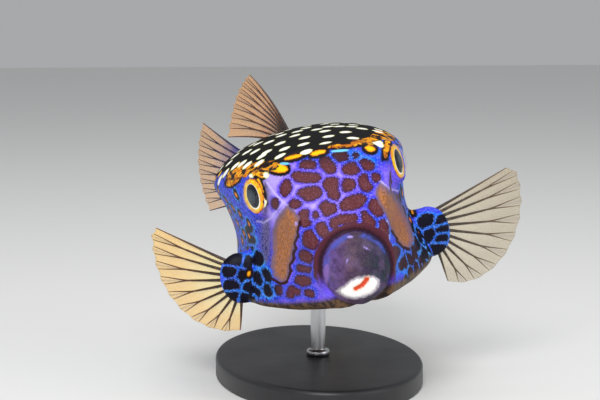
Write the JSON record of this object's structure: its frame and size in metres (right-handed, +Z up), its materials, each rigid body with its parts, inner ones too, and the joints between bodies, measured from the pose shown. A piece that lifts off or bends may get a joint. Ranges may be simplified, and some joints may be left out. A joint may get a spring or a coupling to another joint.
{
  "type": "whitespotted boxfish, male, on a display stand",
  "caption": "Life-size male spotted boxfish, swimming with its tail bent and fins spread, banked on a rod above a flat oval base.",
  "frame": {"origin": "centre of the flat underside of the stand's base", "axes": "+Z up, the fish looks along -Y and its tail points along +Y, +X is to its left"},
  "size_m": [0.1072, 0.1426, 0.0873],
  "materials": {
    "skin": "wet fish skin over bony plates, violet blue with dark spots, back black with white spots",
    "fin": "thin clear fin membrane, golden, with dark brown rays",
    "eye": "clear wet eye, golden iris and dark pupil",
    "stand_base": "satin black display base",
    "stand_rod": "fine brushed steel rod"
  },
  "bodies": {
    "root": {"head": "skin", "snout": "skin", "body": "skin", "tail_stalk": "skin", "tail_fin": "fin", "dorsal_fin": "fin", "anal_fin": "fin", "pectoral_base_left": "skin", "pectoral_fin_left": "fin", "eye_left": "eye", "pectoral_base_right": "skin", "pectoral_fin_right": "fin", "eye_right": "eye", "stand_base": "stand_base", "stand_rod": "stand_rod"}
  },
  "joints": []
}
